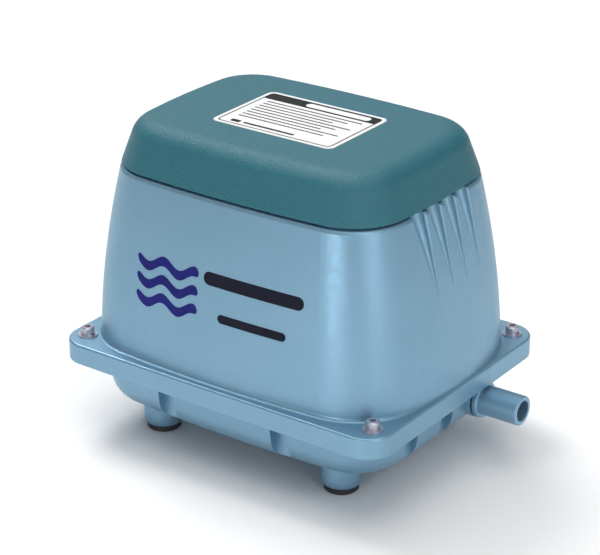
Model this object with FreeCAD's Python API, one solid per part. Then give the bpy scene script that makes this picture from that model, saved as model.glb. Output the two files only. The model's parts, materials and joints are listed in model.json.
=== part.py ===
"""Electromagnetic linear-diaphragm air pump, for ponds and tanks.

Millimetres, +Z up, floor at z = 0. The housing's long direction is X, its front faces -Y and the
air outlet points along +X. Everything is drawn about the housing's own vertical centre line and
then moved by ORIGIN_SHIFT, so that the origin is under the middle of the whole pump's box.
"""
import FreeCAD, Part
import math
import os

V = FreeCAD.Vector
X, Y, Z = V(1, 0, 0), V(0, 1, 0), V(0, 0, 1)
ORIGIN = V(0, 0, 0)
RUN = 0.05                     # radial clearance of a running fit
SEAT = 0.3                     # gap between pieces that are only located by each other

# ---- outlines: half length, half width, corner radius, bulge radius of the long and the end sides
WALL = 3.0
FLANGE = (123.0, 96.05, 18.0, 12000.0, 12000.0)
BODY_FOOT = (120.4, 89.7, 46.2, 930.0, 330.0)
BODY_TOP = (103.9, 76.1, 37.2, 927.0, 446.0)
PAN_TOP = (113.8, 85.6, 39.4, 990.0, 1320.0)

# ---- heights of the casing
PAN_FLOOR = 19.4
PAN_RIM_LOW = 53.9
PAN_RIM_TOP = 59.9
GASKET = 0.95
FLANGE_PLATE = 3.3
FLANGE_LOW = PAN_RIM_TOP + GASKET
FLANGE_TOP = FLANGE_LOW + FLANGE_PLATE
SKIRT_LOW = FLANGE_TOP - 13.3
BODY_END = 182.0               # where the cover's edge lies
SHOULDER = BODY_END - 1.6
DECK_TOP = 178.5
DECK = 3.0
LIP_TOP = 185.0
LIP_INSET = 4.2
LIP_WALL = 2.4
FLANGE_ROUND = 1.6
SHOULDER_ROUND = 2.4
FOOT_FLARE = (1.0, 2.4, 3.0)   # how far the body's foot spreads in X, Y and corner radius
BODY_CURVE = 1.71              # power of the body's inward curve

# ---- filter cover
COVER_TOP = 210.6
COVER_DRAFT = math.radians(19.06)
COVER_ROUND = 13.9
COVER_WALL = 2.6
COVER_CORNER_RATE = 0.75       # how fast the cover's corner radius shrinks with its inset
LABEL = (90.0, 64.0, 5.0, 0.3)
FILTER = (176.0, 120.0, 22.0, 14.0)
FILTER_EDGE = 12.0
RIB_X, RIB, RIB_LOW = 44.0, 2.0, 201.0

# ---- intake scoops in the +X wall
SCOOP_COUNT = 4
SCOOP_PITCH = 16.2
SCOOP_FIRST_Y = -16.5
SCOOP_TIP_Z = 126.5
SCOOP_END_Z = 188.0
SCOOP_RADIUS = 6.15            # this and the next three are the sizes at BODY_END
SCOOP_SINK = 0.85              # flute centre inside the wall's face
SCOOP_ROLL = 2.0               # rounding of the flute's edges
SCOOP_LEAN = 7.95              # flute centre from the upright line above the tip, to -Y
SCOOP_ROLL_LIFT = 0.04         # part of the rounding that stands clear of the wall's face
SCOOP_WALL = 2.6
SCOOP_CLEAR = 6.0              # how far outside the wall the cut reaches
SCOOP_TIP_SCALE = 0.02
SCOOP_LEVELS = 6
SLOT_COUNT, SLOT_PITCH = 9, 9.0
SLOT = (4.0, 44.0)             # inlet slots in the deck

# ---- pan
PAN_DRAFT = math.radians(7.4)
PAN_ROUND = 17.9
CHANNEL_RADIUS = 6.6           # round end of the channels pressed into the walls
CHANNEL_DEPTH = 13.4
CHANNELS_FRONT = (-44.0, 44.0)
CHANNELS_END = (-39.0, 0.0, 39.0)
OUTLET_CHANNEL = 39.0          # this channel is left out at the outlet
LEG_X, LEG_Y = 70.4, 53.9
LEG_RADIUS = 13.0
LEG_LOW_RADIUS = 11.4
LEG_LOW = 4.4
FOOT_RADIUS = 11.0
LEG_BEND = 6.0
FOOT_STEM = (4.0, 13.0)
FOOT_EDGE = 0.8
LEDGE_TOP = 49.0
LEDGE = 5.0
LEDGE_WIDTH = 14.0
LEDGE_AT_CHANNEL = 5.0         # width kept around a channel

# ---- flange bolts, M5 with low socket heads
BOLT_X, BOLT_Y = 110.3, 80.1
BOLT_RADIUS = 2.5
BOLT_HOLE = 2.75
BOLT_LENGTH = 14.5
BOLT_HEAD = (4.25, 3.9)
BOLT_SOCKET = (4.0, 2.4)
WASHER = (6.3, 1.0)
SPRING_WASHER = (4.6, 1.2, 1.2)
BOSS_RADIUS = 4.8
BOSS_DROP = 3.0
HEAD_EDGE = 0.7

# ---- outlet
OUTLET_Y, OUTLET_Z = 34.5, 38.5
OUTLET_END = 146.3
PIPE_RADIUS = 9.65
PIPE_BORE = 6.85
PIPE_INNER_END = 106.5
PIPE_WIDE_BORE = (7.7, 116.8)  # the bore is wider inside the pan, up to this x
OUTLET_BOSS = (12.4, 115.0)
SEAL = (10.8, 0.8)
COLLAR = (12.2, 4.0)
PIPE_EDGE = 0.8
COLLAR_EDGE = 1.4

# ---- cable inlet in the rear wall
GLAND_X, GLAND_Z = -66.0, 84.0
GLAND_RADIUS = 8.0
GLAND_HEAD_RADIUS = 10.5
GLAND_BORE = 3.6
GLAND_WIDE_BORE = (5.4, 90.0)  # the bore is wider inside the wall, up to this y
GLAND_END = 96.0
GLAND_SEAT = 89.6
GLAND_INNER = 78.0
GLAND_BOSS = 8.0

# ---- air tank in the pan
TANK_GASKET = 1.5
TANK_COVER = 3.0
TANK_COVER_TOP = LEDGE_TOP + TANK_GASKET + TANK_COVER
TANK_EDGE = 6.2                # the lid stays this far inside the pan's wall
TANK_SCREWS = ((0, 72.4), (0, -72.4), (62, 70.2), (62, -70.2), (-62, 70.2), (-62, -70.2),
               (100.4, 19.5), (100.4, -19.5), (-100.4, 19.5), (-100.4, -19.5))
TANK_SCREW = (2.0, 12.0, 3.8, 2.4)

# ---- pump unit: axis along X at height PUMP_Z
PUMP_Z = 112.0
STROKE = 3.0
BASE = (56.0, 54.0, 68.0, 3.0)
MOUNT_X, MOUNT_Y = 44.0, 42.0
MOUNT = (9.0, 6.5, 2.5)
MOUNT_SCREW = (9.0, 4.5, 2.6)
PEDESTAL = 11.0
END_WALL = (52.0, 56.0)
END_WALL_HALF = 46.0
ROD_RADIUS = 4.0
ROD_END = 74.0
ROD_PASS = 24.0
HOLDER = (32.0, 6.0, 17.0)
HOLDER_NOTCH = (7.5, 6.0)
MAGNET = (6.0, 26.0, 14.0)
MAGNET_WEB = 1.5               # holder left between a magnet and the rod
CORE_FACE = 8.0
CORE_BACK = 50.0
CORE_YOKE = 12.0
CORE_HALF_X = 35.0
CORE_HALF_Z = 20.0
TOOTH = 8.0
OUTER_TOOTH = 23.0
BOBBIN = (10.2, 22.2, 21.5, 32.0, 1.6)
COIL = (20.4, 30.6)
COIL_Y = (10.0, 37.0)
COIL_CORNER = 4.0
RING = (44.0, 33.0)
RING_X = (56.0, 62.0)
DIAPHRAGM = (62.0, 2.0, 23.0)
PLATE = (21.0, 3.0)
ROD_NUT = (10.0, 5.0)
CHAMBER_X = (64.0, 92.0)
CHAMBER_HALF = 44.0
CHAMBER_CORNER = 10.0
CHAMBER_BORE = 33.0
PARTITION = (78.0, 82.0)
ROOM_HALF = 32.0
VALVE_ROOM = 32.0
ROOM_RIB = 2.5
HEAD_GASKET = 1.0
HEAD_COVER = 3.5
HEAD_SCREW_AT = 38.0
HEAD_SCREW = (2.2, 20.0, 4.0, 2.8)
VALVE_Y = 18.0
VALVE_HOLE = 6.0
FLAP = (9.0, 9.0, 1.0)
STRIP = (2.0, 4.0)
SPIGOT_X, SPIGOT_Y = 84.6, 22.0
SPIGOT = (7.0, 4.5)
SPIGOT_LENGTH = 6.0
TUBE_RADIUS = 10.0
CLAMP = (11.0, 2.6)
CLAMP_EAR = (1.5, 3.0)

# ---- stop switch above the armature
LEVER_PIVOT_Z = 140.0
LEVER = (1.5, 3.0, 126.0, 3.5)
LEVER_PIN = 1.5
SWITCH = (14.0, 9.0, 12.0)
SWITCH_EARS = (4.2, 7.0)
BRIDGE = 3.0
TERMINAL = (17.0, 50.0, 63.0, 12.0)
TERMINAL_WELLS = (3, 11.0, 3.2)
TERMINAL_SCREW_HEIGHT = 3.0
TERMINAL_SLOT_DEPTH = 1.0

ORIGIN_SHIFT = V((FLANGE[0] - OUTLET_END) / 2, 0, 0)


# ------------------------------------------------------------------ helpers
def cylinder(radius, start, end):
    along = end - start
    return Part.makeCylinder(radius, along.Length, start, along)


def ring(outer, inner, start, end):
    return cylinder(outer, start, end).cut(cylinder(inner, start, end))


def block(low, high):
    size = high - low
    return Part.makeBox(size.x, size.y, size.z, low)


def hexagon(across_flats, start, end):
    radius = across_flats / math.sqrt(3)
    corners = [V(radius * math.cos(math.radians(a)), radius * math.sin(math.radians(a)), 0)
               for a in range(0, 361, 60)]
    prism = Part.Face(Part.makePolygon(corners)).extrude(V(0, 0, (end - start).Length))
    prism.Placement = FreeCAD.Placement(start, FreeCAD.Rotation(Z, end - start))
    return prism


def turned(profile):
    """Solid of revolution about Z from (radius, height) points joined by straight lines."""
    points = [V(r, 0, z) for r, z in profile]
    return Part.Face(Part.makePolygon(points + points[:1])).revolve(ORIGIN, Z, 360)


def moved(shape, offset):
    copy = shape.copy()
    copy.translate(offset)
    return copy


def mirrored_x(shape):
    return shape.mirror(ORIGIN, X)


def four_ways(shape):
    """The shape and its images in the X and Y mid-planes."""
    pair = [shape, shape.mirror(ORIGIN, X)]
    return pair + [piece.mirror(ORIGIN, Y) for piece in pair]


def group(solids):
    return Part.makeCompound(solids)


def union(shapes):
    whole = shapes[0]
    for shape in shapes[1:]:
        whole = whole.fuse(shape)
    return whole.removeSplitter()


def minus(shape, tools):
    for tool in tools:
        shape = shape.cut(tool)
    return shape


def arc(centre, radius, start, end):
    """Arc about a vertical axis, its angles in radians."""
    points = [centre + V(radius * math.cos(a), radius * math.sin(a), 0)
              for a in (start, (start + end) / 2, end)]
    return Part.Arc(*points).toShape()


def outline(z, size):
    """Closed outline of eight tangent arcs: four bulging sides and four round corners."""
    half_x, half_y, corner, bulge_y, bulge_x = size
    side = V(0, half_y - bulge_y, z)
    end = V(half_x - bulge_x, 0, z)
    reach_side, reach_end = bulge_y - corner, bulge_x - corner
    apart = (end - side).Length
    along = (end - side) * (1 / apart)
    down = (reach_side ** 2 - reach_end ** 2 + apart ** 2) / (2 * apart)
    across = math.sqrt(reach_side ** 2 - down ** 2)
    middle = side + along * down + V(along.y, -along.x, 0) * across
    low = math.atan2(middle.y, middle.x - end.x)
    high = math.atan2(middle.y - side.y, middle.x)
    arcs = [arc(end, bulge_x, -low, low)]
    arcs.append(arc(middle, corner, low, high))
    arcs.append(arc(side, bulge_y, high, math.pi - high))
    arcs.append(arc(V(-middle.x, middle.y, z), corner, math.pi - high, math.pi - low))
    arcs.append(arc(V(-end.x, 0, z), bulge_x, math.pi - low, math.pi + low))
    arcs.append(arc(V(-middle.x, -middle.y, z), corner, math.pi + low, math.pi + high))
    arcs.append(arc(V(0, -side.y, z), bulge_y, math.pi + high, 2 * math.pi - high))
    arcs.append(arc(V(middle.x, -middle.y, z), corner, -high, -low))
    return Part.Wire(arcs)


def inset(size, distance, corner_rate=1.0):
    half_x, half_y, corner, bulge_y, bulge_x = size
    return (half_x - distance, half_y - distance, corner - distance * corner_rate,
            bulge_y - distance, bulge_x - distance)


def loft(levels, ruled=False):
    return Part.makeLoft([outline(z, size) for z, size in levels], True, ruled)


def slab(low, high, size):
    return Part.Face(outline(low, size)).extrude(V(0, 0, high - low))


def rounded_slab(low, high, size, radius):
    body = slab(low, high, size)
    edges = [e for e in body.Edges if abs(e.BoundBox.ZMin - high) < 1e-6]
    return body.makeFillet(radius, edges)


def mix(a, b, t):
    return tuple(p + (q - p) * t for p, q in zip(a, b))


def body_size(z):
    """Outline of the upper casing at height z: it curves inwards faster towards the top."""
    t = max(0.0, (z - FLANGE_TOP) / (BODY_END - FLANGE_TOP))
    return mix(BODY_FOOT, BODY_TOP, t ** BODY_CURVE)


def steps(start, end, count):
    return [start + (end - start) * i / count for i in range(count + 1)]


def rounding(low, size_at, radius, flip=1.0):
    """Levels of a quarter-round that leaves the wall at height low and closes inwards."""
    levels = []
    for angle in steps(0, math.pi / 2, 5):
        z = low + radius * math.sin(angle) * flip
        levels.append((z, inset(size_at(z), radius * (1 - math.cos(angle)))))
    return levels


# ------------------------------------------------------------------ upper casing
def body_outside():
    foot_x, foot_y, foot_corner = FOOT_FLARE
    flare = []
    for angle in steps(0, math.pi / 2, 5):
        spread = 1 - math.sin(angle)
        z = FLANGE_TOP + foot_y * (1 - math.cos(angle))
        half_x, half_y, corner, bulge_y, bulge_x = body_size(z)
        flare.append((z, (half_x + foot_x * spread, half_y + foot_y * spread,
                          corner + foot_corner * spread, bulge_y, bulge_x)))
    low, high = flare[-1][0], SHOULDER - SHOULDER_ROUND
    wall = [(z, body_size(z)) for z in steps(low, high, 6)]
    top = rounding(high, body_size, SHOULDER_ROUND)
    return union([loft(flare), loft(wall), loft(top)])


def body_inside():
    low, high = FLANGE_LOW, DECK_TOP - DECK
    return loft([(z, inset(body_size(z), WALL)) for z in steps(low, high, 5)])


def scoop_frame(index, z):
    """One scoop at height z: its scale, the end wall's radius, and points placed on that wall."""
    half_x, *_, bulge = body_size(z)
    grow = max(SCOOP_TIP_SCALE, (z - SCOOP_TIP_Z) / (BODY_END - SCOOP_TIP_Z))
    turn = math.asin((SCOOP_FIRST_Y + index * SCOOP_PITCH - SCOOP_LEAN * grow) / bulge)

    def place(outward, angle=0.0):
        reach = bulge + outward
        return V(half_x - bulge + reach * math.cos(turn + angle), reach * math.sin(turn + angle), z)

    return grow, bulge, place


def scoop_outline(index, z):
    """Section of one scoop: a round flute whose edges roll over onto the wall's face."""
    grow, bulge, place = scoop_frame(index, z)
    radius, roll = SCOOP_RADIUS * grow, SCOOP_ROLL * grow
    sink, lift = SCOOP_SINK * grow, SCOOP_ROLL_LIFT * grow
    to_flute, to_roll = bulge - sink, bulge - roll + lift
    spread = math.acos((to_flute ** 2 + to_roll ** 2 - (radius + roll) ** 2) / (2 * to_flute * to_roll))
    centre, floor = place(-sink), place(-sink - radius)
    edges, ends = [], []
    for angle in (-spread, spread):
        rolled, outer = place(lift - roll, angle), place(lift, angle)
        touch = centre + (rolled - centre) * (radius / (radius + roll))
        middle = rolled + ((touch - rolled) + (outer - rolled)).normalize() * roll
        edges.append(Part.Arc(outer, middle, touch).toShape())
        ends.append((outer, touch, place(SCOOP_CLEAR, angle)))
    (outer_a, touch_a, clear_a), (outer_b, touch_b, clear_b) = ends
    flute = Part.Arc(touch_a, floor, touch_b).toShape()
    closing = Part.makePolygon([outer_b, clear_b, clear_a, outer_a]).Edges
    return Part.Wire([edges[0], flute, edges[1]] + closing)


def scoop_cut(index):
    return Part.makeLoft([scoop_outline(index, z) for z in scoop_heights()], True, False)


def scoop_backing(index):
    """Round body behind a scoop, which keeps the wall closed there."""
    circles = []
    for z in scoop_heights():
        grow, _, place = scoop_frame(index, z)
        radius = SCOOP_RADIUS * grow + SCOOP_WALL
        circles.append(Part.Wire(Part.makeCircle(radius, place(-SCOOP_SINK * grow), Z)))
    return Part.makeLoft(circles, True, False)


def scoop_heights():
    return steps(SCOOP_TIP_Z, SCOOP_END_Z, SCOOP_LEVELS)


def bolt_places():
    return [(sx * BOLT_X, sy * BOLT_Y) for sx in (1, -1) for sy in (1, -1)]


def bolt_cuts(radius, low, high):
    return [cylinder(radius, V(x, y, low), V(x, y, high)) for x, y in bolt_places()]


def inlet_slots():
    """Slots in the deck that let filtered air down into the casing."""
    width, length = SLOT
    slots = []
    for i in range(SLOT_COUNT):
        x = (i - (SLOT_COUNT - 1) / 2) * SLOT_PITCH
        low = V(x - width / 2, -length / 2, DECK_TOP - DECK)
        slots.append(block(low, low + V(width, length, DECK)))
    return slots


def upper_housing():
    flange = rounded_slab(SKIRT_LOW, FLANGE_TOP, FLANGE, FLANGE_ROUND)
    core = slab(SKIRT_LOW, SHOULDER, inset(BODY_TOP, LIP_INSET))
    lip = slab(SKIRT_LOW, LIP_TOP, inset(BODY_TOP, LIP_INSET))
    outside = body_outside()
    shell = union([flange, core, outside, lip])
    shell = minus(shell, [body_inside(), slab(SKIRT_LOW, FLANGE_LOW, inset(FLANGE, WALL))])
    shell = shell.cut(slab(DECK_TOP, LIP_TOP, inset(BODY_TOP, LIP_INSET + LIP_WALL)))
    backing = union([scoop_backing(i) for i in range(SCOOP_COUNT)])
    boss_low = V(GLAND_X, GLAND_SEAT - GLAND_BOSS, GLAND_Z)
    boss = cylinder(GLAND_HEAD_RADIUS, boss_low, V(GLAND_X, GLAND_SEAT, GLAND_Z))
    shell = union([shell, backing.common(outside), boss])
    shell = minus(shell, [scoop_cut(i) for i in range(SCOOP_COUNT)] + inlet_slots())
    gland_hole = cylinder(GLAND_RADIUS, V(GLAND_X, 0, GLAND_Z), V(GLAND_X, GLAND_END, GLAND_Z))
    return minus(shell, bolt_cuts(BOLT_HOLE, SKIRT_LOW, FLANGE_TOP) + [gland_hole])


# ------------------------------------------------------------------ cover and filter
def cover_size(z, wall=0.0):
    """Outline of the filter cover at height z, or of its inside when a wall is given."""
    top, radius = COVER_TOP - wall, COVER_ROUND - wall
    centre = top - radius
    tangent = centre + radius * math.sin(COVER_DRAFT)
    first = (tangent - BODY_END) * math.tan(COVER_DRAFT) + wall / math.cos(COVER_DRAFT)
    if z <= tangent:
        distance = (z - BODY_END) * math.tan(COVER_DRAFT) + wall / math.cos(COVER_DRAFT)
    else:
        angle = math.asin(min(1.0, (z - centre) / radius))
        distance = first + radius * (math.cos(COVER_DRAFT) - math.cos(angle))
    return inset(BODY_TOP, distance, COVER_CORNER_RATE)


def cover_solid(wall=0.0):
    centre = COVER_TOP - COVER_ROUND
    radius = COVER_ROUND - wall
    side = [BODY_END, centre + radius * math.sin(COVER_DRAFT)]
    angles = steps(COVER_DRAFT, math.pi / 2, 6)
    bend = [centre + radius * math.sin(a) for a in angles]
    lower = loft([(z, cover_size(z, wall)) for z in side], True)
    upper = loft([(z, cover_size(z, wall)) for z in bend])
    return union([lower, upper])


def filter_cover():
    shell = cover_solid().cut(cover_solid(COVER_WALL))
    ribs = []
    half_y = FILTER[1] / 2 - FILTER_EDGE
    for x in (-RIB_X, 0, RIB_X):
        low = V(x - RIB / 2, -half_y, RIB_LOW)
        ribs.append(block(low, V(x + RIB / 2, half_y, COVER_TOP - COVER_WALL)))
    return union([shell] + ribs)


def round_plate(half_x, half_y, corner, low, high):
    plate = block(V(-half_x, -half_y, low), V(half_x, half_y, high))
    upright = [e for e in plate.Edges if e.BoundBox.ZLength > high - low - RUN]
    return plate.makeFillet(corner, upright)


def top_label():
    length, width, corner, thick = LABEL
    return round_plate(length / 2, width / 2, corner, COVER_TOP, COVER_TOP + thick)


def filter_element():
    length, width, height, corner = FILTER
    return round_plate(length / 2, width / 2, corner, DECK_TOP, DECK_TOP + height)


# ------------------------------------------------------------------ pan
def pan_size(z, wall=0.0):
    """Outline of the pan at height z: draft above, a large round below."""
    low, radius = PAN_FLOOR + wall, PAN_ROUND - wall
    centre = low + radius
    tangent = centre - radius * math.sin(PAN_DRAFT)
    if z >= tangent:
        distance = (SKIRT_LOW - z) * math.tan(PAN_DRAFT) + wall / math.cos(PAN_DRAFT)
    else:
        angle = math.asin(min(1.0, (centre - z) / radius))
        distance = (SKIRT_LOW - tangent) * math.tan(PAN_DRAFT) + wall / math.cos(PAN_DRAFT)
        distance += radius * (math.cos(PAN_DRAFT) - math.cos(angle))
    return inset(PAN_TOP, distance)


def pan_solid(high, wall=0.0):
    low, radius = PAN_FLOOR + wall, PAN_ROUND - wall
    centre = low + radius
    tangent = centre - radius * math.sin(PAN_DRAFT)
    bend = [centre - radius * math.sin(a) for a in steps(math.pi / 2, PAN_DRAFT, 6)]
    lower = loft([(z, pan_size(z, wall)) for z in bend])
    upper = loft([(z, pan_size(z, wall)) for z in (tangent, high)], True)
    return union([lower, upper])


def channel_places():
    """Where the vertical channels run into the pan's four walls, each with its way out."""
    half_x, half_y = PAN_TOP[:2]
    places = []
    for x in CHANNELS_FRONT:
        places += [(V(x, half_y, 0), Y), (V(x, -half_y, 0), -Y)]
    for y in CHANNELS_END:
        places.append((V(-half_x, y, 0), -X))
        if y != OUTLET_CHANNEL:
            places.append((V(half_x, y, 0), X))
    return places


def channels(extra):
    """Round-ended upright slots, widened all round by extra."""
    radius = CHANNEL_RADIUS + extra
    low, high = V(0, 0, PAN_FLOOR - extra), V(0, 0, PAN_RIM_LOW + extra)
    slots = []
    for wall, out in channel_places():
        end = wall - out * (CHANNEL_DEPTH - CHANNEL_RADIUS)
        across = V(-out.y, out.x, 0) * radius
        corners = [end + across, end - across, end - across + out * CHANNEL_DEPTH * 2]
        corners += [end + across + out * CHANNEL_DEPTH * 2, end + across]
        straight = Part.Face(Part.makePolygon(corners)).extrude(high - low)
        slots.append(union([cylinder(radius, end + low, end + high), moved(straight, low)]))
    return slots


def ledge_opening(low, high):
    """The hole that the ledge leaves, narrowed around the channels."""
    hole = slab(low, high, inset(PAN_TOP, WALL + LEDGE_WIDTH))
    return minus(hole, channels(WALL + LEDGE_AT_CHANNEL))


def leg():
    """Tapered leg with a rounded lower edge and a blind hole for the foot's stem."""
    bend = LEG_RADIUS - LEG_LOW_RADIUS
    profile = [(0, LEG_LOW)]
    for angle in steps(0, math.pi / 2, 4):
        height = LEG_LOW + LEG_BEND * (1 - math.cos(angle))
        profile.append((LEG_LOW_RADIUS + bend * math.sin(angle), height))
    profile += [(LEG_RADIUS, PAN_FLOOR + WALL), (0, PAN_FLOOR + WALL)]
    stem, deep = FOOT_STEM
    hole = cylinder(stem + RUN, ORIGIN, V(0, 0, deep + SEAT))
    return moved(turned(profile).cut(hole), V(LEG_X, LEG_Y, 0))


def tank_screw_cuts(radius, low, high):
    return [cylinder(radius, V(x, y, low), V(x, y, high)) for x, y in TANK_SCREWS]


def outlet_axis(x):
    return V(x, OUTLET_Y, OUTLET_Z)


def lower_housing():
    outside = pan_solid(PAN_RIM_TOP)
    rim = slab(PAN_RIM_LOW, PAN_RIM_TOP, inset(FLANGE, WALL + SEAT))
    boss_radius, boss_end = OUTLET_BOSS
    boss = cylinder(boss_radius, outlet_axis(PIPE_INNER_END), outlet_axis(boss_end))
    bolt_bosses = bolt_cuts(BOSS_RADIUS, PAN_RIM_LOW - BOSS_DROP, PAN_RIM_TOP)
    shell = union([outside, rim, boss] + bolt_bosses)
    shell = minus(shell, channels(0))
    inside = pan_solid(PAN_RIM_TOP, WALL)
    inside = minus(inside, channels(WALL))
    ledge = slab(LEDGE_TOP - LEDGE, LEDGE_TOP, PAN_TOP)
    ledge = ledge.cut(ledge_opening(LEDGE_TOP - LEDGE, LEDGE_TOP))
    shell = shell.cut(inside.cut(ledge))
    screw_deep = TANK_SCREW[1]
    screw_bosses = tank_screw_cuts(LEDGE, TANK_COVER_TOP - screw_deep - WALL, LEDGE_TOP)
    shell = union([shell] + [b.common(inside) for b in screw_bosses] + four_ways(leg()))
    holes = tank_screw_cuts(TANK_SCREW[0] + RUN, TANK_COVER_TOP - screw_deep - RUN, LEDGE_TOP)
    holes += bolt_cuts(BOLT_RADIUS + RUN, PAN_RIM_LOW - BOSS_DROP, PAN_RIM_TOP)
    holes.append(cylinder(PIPE_RADIUS, outlet_axis(PIPE_INNER_END - WALL), outlet_axis(boss_end)))
    return minus(shell, holes)


def rubber_feet():
    stem, deep = FOOT_STEM
    edge = FOOT_EDGE
    profile = [(0, 0), (FOOT_RADIUS - edge, 0), (FOOT_RADIUS, edge), (FOOT_RADIUS, LEG_LOW)]
    profile += [(stem, LEG_LOW), (stem, deep), (0, deep)]
    return group(four_ways(moved(turned(profile), V(LEG_X, LEG_Y, 0))))


def housing_gasket():
    strip = slab(PAN_RIM_TOP, FLANGE_LOW, inset(FLANGE, WALL + SEAT))
    strip = strip.cut(slab(PAN_RIM_TOP, FLANGE_LOW, inset(BODY_FOOT, WALL + LEDGE)))
    return minus(strip, bolt_cuts(BOLT_HOLE, PAN_RIM_TOP, FLANGE_LOW))


# ------------------------------------------------------------------ flange fasteners
def at_bolts(shape):
    return group([moved(shape, V(x, y, 0)) for x, y in bolt_places()])


def flat_washers():
    radius, thick = WASHER
    return at_bolts(ring(radius, BOLT_HOLE, V(0, 0, FLANGE_TOP), V(0, 0, FLANGE_TOP + thick)))


def spring_washers():
    radius, thick, split = SPRING_WASHER
    low = FLANGE_TOP + WASHER[1]
    washer = ring(radius, BOLT_RADIUS + RUN, V(0, 0, low), V(0, 0, low + thick))
    return at_bolts(washer.cut(block(V(0, -split / 2, low), V(radius, split / 2, low + thick))))


def socket_screw(radius, length, head, seat, socket):
    """Socket-head screw standing on its seat height, shank down."""
    head_radius, head_height = head
    shank = cylinder(radius, V(0, 0, seat - length), V(0, 0, seat))
    cap = cylinder(head_radius, V(0, 0, seat), V(0, 0, seat + head_height))
    cap = cap.makeChamfer(HEAD_EDGE, [e for e in cap.Edges if e.BoundBox.ZMin > seat + head_height / 2])
    flats, deep = socket
    key = hexagon(flats, V(0, 0, seat + head_height - deep), V(0, 0, seat + head_height))
    return union([shank, cap]).cut(key)


def flange_bolts():
    seat = FLANGE_TOP + WASHER[1] + SPRING_WASHER[1]
    return at_bolts(socket_screw(BOLT_RADIUS, BOLT_LENGTH, BOLT_HEAD, seat, BOLT_SOCKET))


# ------------------------------------------------------------------ outlet and cable inlet
def outlet_pipe():
    seal_end = OUTLET_BOSS[1] + SEAL[1]
    collar_radius, collar_length = COLLAR
    pipe = cylinder(PIPE_RADIUS, outlet_axis(PIPE_INNER_END), outlet_axis(OUTLET_END))
    pipe = pipe.makeFillet(PIPE_EDGE, [e for e in pipe.Edges if e.BoundBox.XMin > OUTLET_END - RUN])
    collar = cylinder(collar_radius, outlet_axis(seal_end), outlet_axis(seal_end + collar_length))
    rims = [e for e in collar.Edges if e.BoundBox.XLength < RUN]
    collar = collar.makeFillet(COLLAR_EDGE, rims)
    wide, step = PIPE_WIDE_BORE
    bore = cylinder(PIPE_BORE, outlet_axis(PIPE_INNER_END), outlet_axis(OUTLET_END))
    wide_bore = cylinder(wide, outlet_axis(PIPE_INNER_END), outlet_axis(step))
    return minus(union([pipe, collar]), [bore, wide_bore])


def outlet_seal():
    radius, thick = SEAL
    face = OUTLET_BOSS[1]
    return ring(radius, PIPE_RADIUS + RUN, outlet_axis(face), outlet_axis(face + thick))


def cable_gland():
    def at(y):
        return V(GLAND_X, y, GLAND_Z)
    barrel = cylinder(GLAND_RADIUS - RUN, at(GLAND_INNER), at(GLAND_END))
    head = cylinder(GLAND_HEAD_RADIUS, at(GLAND_SEAT), at(GLAND_END))
    head = head.makeFillet(PIPE_EDGE, [e for e in head.Edges if e.BoundBox.YMin > GLAND_END - RUN])
    wide, step = GLAND_WIDE_BORE
    bores = [cylinder(GLAND_BORE, at(GLAND_INNER), at(GLAND_END))]
    bores.append(cylinder(wide, at(GLAND_INNER), at(step)))
    return minus(union([barrel, head]), bores)


# ------------------------------------------------------------------ air tank lid
def tank_outline(low, high, clearance):
    """Slab that fills the pan above the ledge, kept clear of the wall and the channels."""
    filling = slab(low, high, inset(pan_size(TANK_COVER_TOP, WALL), TANK_EDGE + clearance))
    return minus(filling, channels(WALL + SEAT + clearance))


def spigot(x, y, low, high):
    outer, inner = SPIGOT
    return ring(outer, inner, V(x, y, low), V(x, y, high))


def tube_places():
    """Where the two chambers blow down into the tank."""
    return [(SPIGOT_X, SPIGOT_Y), (-SPIGOT_X, SPIGOT_Y)]


def tank_cover():
    low = LEDGE_TOP + TANK_GASKET
    plate = tank_outline(low, TANK_COVER_TOP, 0)
    spigots = [spigot(x, y, low, TANK_COVER_TOP + SPIGOT_LENGTH) for x, y in tube_places()]
    plate = union([plate] + spigots)
    holes = tank_screw_cuts(TANK_SCREW[0] + RUN, low, TANK_COVER_TOP)
    holes += [cylinder(SPIGOT[1], V(x, y, low), V(x, y, TANK_COVER_TOP)) for x, y in tube_places()]
    return minus(plate, holes)


def tank_gasket():
    high = LEDGE_TOP + TANK_GASKET
    strip = tank_outline(LEDGE_TOP, high, SEAT).cut(ledge_opening(LEDGE_TOP, high))
    return minus(strip, tank_screw_cuts(TANK_SCREW[0] + RUN, LEDGE_TOP, high))


def pan_screw(radius, length, head_radius, head_height, seat):
    """Round-head screw with a cross slot."""
    shank = cylinder(radius, V(0, 0, seat - length), V(0, 0, seat))
    head = cylinder(head_radius, V(0, 0, seat), V(0, 0, seat + head_height))
    top = seat + head_height
    head = head.makeFillet(head_height / 3, [e for e in head.Edges if e.BoundBox.ZMin > seat + RUN * 2
                                             and e.BoundBox.ZLength < RUN])
    reach, slot, deep = head_radius * 0.6, radius / 5, head_height / 2
    cross = [block(V(-reach, -slot, top - deep), V(reach, slot, top))]
    cross.append(block(V(-slot, -reach, top - deep), V(slot, reach, top)))
    return minus(union([shank, head]), cross)


def tank_screws():
    screw = pan_screw(*TANK_SCREW, TANK_COVER_TOP)
    return group([moved(screw, V(x, y, 0)) for x, y in TANK_SCREWS])


# ------------------------------------------------------------------ pump unit: frame and mounts
def mount_places():
    return [(sx * MOUNT_X, sy * MOUNT_Y) for sx in (1, -1) for sy in (1, -1)]


def at_mounts(shape):
    return group([moved(shape, V(x, y, 0)) for x, y in mount_places()])


def vibration_mounts():
    radius, waist, hole = MOUNT
    low, high = TANK_COVER_TOP, BASE[2]
    third = (high - low) / 3
    profile = [(hole, low), (radius, low), (waist, low + third), (waist, high - third)]
    profile += [(radius, high), (hole, high)]
    return at_mounts(turned(profile))


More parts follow.
